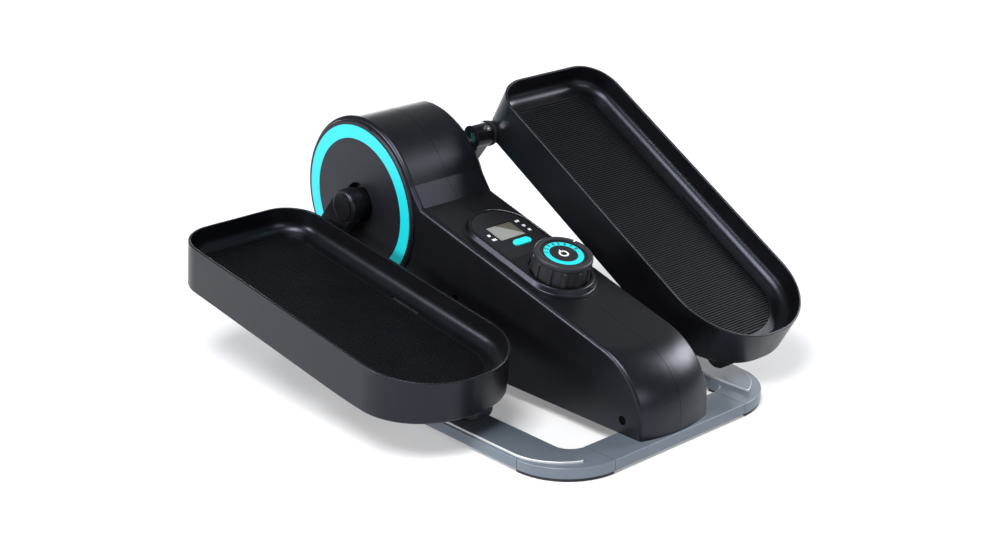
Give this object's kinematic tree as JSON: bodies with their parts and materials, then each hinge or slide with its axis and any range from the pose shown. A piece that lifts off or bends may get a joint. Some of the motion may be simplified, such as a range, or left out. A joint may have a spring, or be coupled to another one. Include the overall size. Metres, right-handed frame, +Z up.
{
  "type": "pedal exerciser",
  "caption": "Under-desk elliptical pedal exerciser: a crank drum between two foot trays that roll on a flat rectangular base, with a display and resistance knob.",
  "frame": {"origin": "on the floor, under the middle of the bounding box", "axes": "+Z up, +Y away from the seated user towards the drum, +X to the right of the user"},
  "size_m": [0.4466, 0.4913, 0.256],
  "materials": {
    "frame_paint": "satin",
    "track_metal": "satin",
    "pad_rubber": "matte",
    "shell_plastic": "fine satin texture",
    "accent_teal": "gloss",
    "panel_black": "semi-gloss",
    "display_clear": "clear",
    "display_grey": "satin",
    "board_green": "satin",
    "knob_plastic": "satin",
    "arm_paint": "satin",
    "bright_steel": "polished",
    "dark_steel": "black oxide",
    "cast_wheel": "machined",
    "bush_nylon": "satin",
    "belt_rubber": "matte",
    "pulley_plastic": "satin",
    "cell_jacket": "gloss",
    "tray_plastic": "satin",
    "mat_rubber": "ribbed matte",
    "wheel_rubber": "satin"
  },
  "bodies": {
    "base": {"front_bar": "frame_paint", "rear_bar": "frame_paint", "left_rail": "frame_paint", "right_rail": "frame_paint", "front_corners": "frame_paint", "rear_corners": "frame_paint", "corner_pads": "pad_rubber", "track_plates": "track_metal", "left_housing": "shell_plastic", "right_housing": "shell_plastic", "left_drum_cover": "shell_plastic", "right_drum_cover": "shell_plastic", "accent_rings": "accent_teal", "console_pod": "shell_plastic", "display_panel": "panel_black", "display_window": "display_clear", "display_module": "display_grey", "circuit_board": "board_green", "knob_dial": "panel_black", "dial_bracket": "dark_steel", "left_frame_plate": "dark_steel", "right_frame_plate": "dark_steel", "frame_rods": "dark_steel", "crank_bearings": "bright_steel", "flywheel_bearings": "bright_steel", "drive_belt": "belt_rubber", "speed_sensor": "pulley_plastic", "tension_cable": "belt_rubber", "housing_screws": "dark_steel", "base_screws": "bright_steel", "battery_door": "shell_plastic", "batteries": "cell_jacket"},
    "crank": {"crank_axle": "bright_steel", "left_crank_arm": "arm_paint", "right_crank_arm": "arm_paint", "crank_pins": "bright_steel", "arm_screws": "bright_steel", "axle_caps": "arm_paint", "drive_pulley": "pulley_plastic", "pulley_magnet": "bright_steel"},
    "flywheel": {"flywheel": "cast_wheel", "flywheel_pulley": "pulley_plastic", "flywheel_axle": "bright_steel"},
    "brake": {"brake_bracket": "bright_steel", "brake_magnets": "bright_steel"},
    "knob": {"resistance_knob": "knob_plastic", "tension_spool": "pulley_plastic"},
    "button": {"mode_button": "accent_teal"},
    "left_pedal": {"left_tray": "tray_plastic", "left_mat": "mat_rubber", "left_pedal_frame": "dark_steel", "left_pin_bushes": "bush_nylon", "left_wheel_axle": "bright_steel"},
    "right_pedal": {"right_tray": "tray_plastic", "right_mat": "mat_rubber", "right_pedal_frame": "dark_steel", "right_pin_bushes": "bush_nylon", "right_wheel_axle": "bright_steel"},
    "left_wheel": {"left_heel_wheel": "wheel_rubber"},
    "right_wheel": {"right_heel_wheel": "wheel_rubber"}
  },
  "joints": [
    {"name": "crank_turn", "type": "hinge", "parent": "base", "child": "crank", "pos_m": [0, 0.1573, 0.1446], "axis": [1, 0, 0], "range_deg": [0, 90]},
    {"name": "left_pedal_pivot", "type": "hinge", "parent": "crank", "child": "left_pedal", "pos_m": [0, 0.21629, 0.08424], "axis": [1, 0, 0], "range_deg": [-68.5, 0]},
    {"name": "right_pedal_pivot", "type": "hinge", "parent": "crank", "child": "right_pedal", "pos_m": [0, 0.09831, 0.20496], "axis": [1, 0, 0], "range_deg": [-113, 0]},
    {"name": "flywheel_spin", "type": "hinge", "parent": "base", "child": "flywheel", "pos_m": [0, -0.0177, 0.066], "axis": [1, 0, 0], "range_deg": [0, 495]},
    {"name": "knob_turn", "type": "hinge", "parent": "base", "child": "knob", "pos_m": [0, -0.087, 0.12787], "axis": [0, -0.2723, 0.9622], "range_deg": [-20.7, 124.2]},
    {"name": "brake_swing", "type": "hinge", "parent": "base", "child": "brake", "pos_m": [0, -0.05045, 0.10792], "axis": [1, 0, 0], "range_deg": [-7.5, 1.3]},
    {"name": "button_press", "type": "slide", "parent": "base", "child": "button", "axis": [0, -0.2723, 0.9622], "range_m": [-0.0008, 0], "stiffness_N_per_m": 800},
    {"name": "left_wheel_spin", "type": "hinge", "parent": "left_pedal", "child": "left_wheel", "pos_m": [0, -0.10642, 0.03394], "axis": [1, 0, 0], "continuous": true},
    {"name": "right_wheel_spin", "type": "hinge", "parent": "right_pedal", "child": "right_wheel", "pos_m": [0, -0.18041, 0.03471], "axis": [1, 0, 0], "continuous": true}
  ],
  "couplings": [
    {"joint": "left_pedal_pivot", "follows": "crank_turn", "ratio": -0.76},
    {"joint": "right_pedal_pivot", "follows": "crank_turn", "ratio": -1.255},
    {"joint": "flywheel_spin", "follows": "crank_turn", "ratio": 5.5},
    {"joint": "brake_swing", "follows": "knob_turn", "ratio": -0.06}
  ]
}
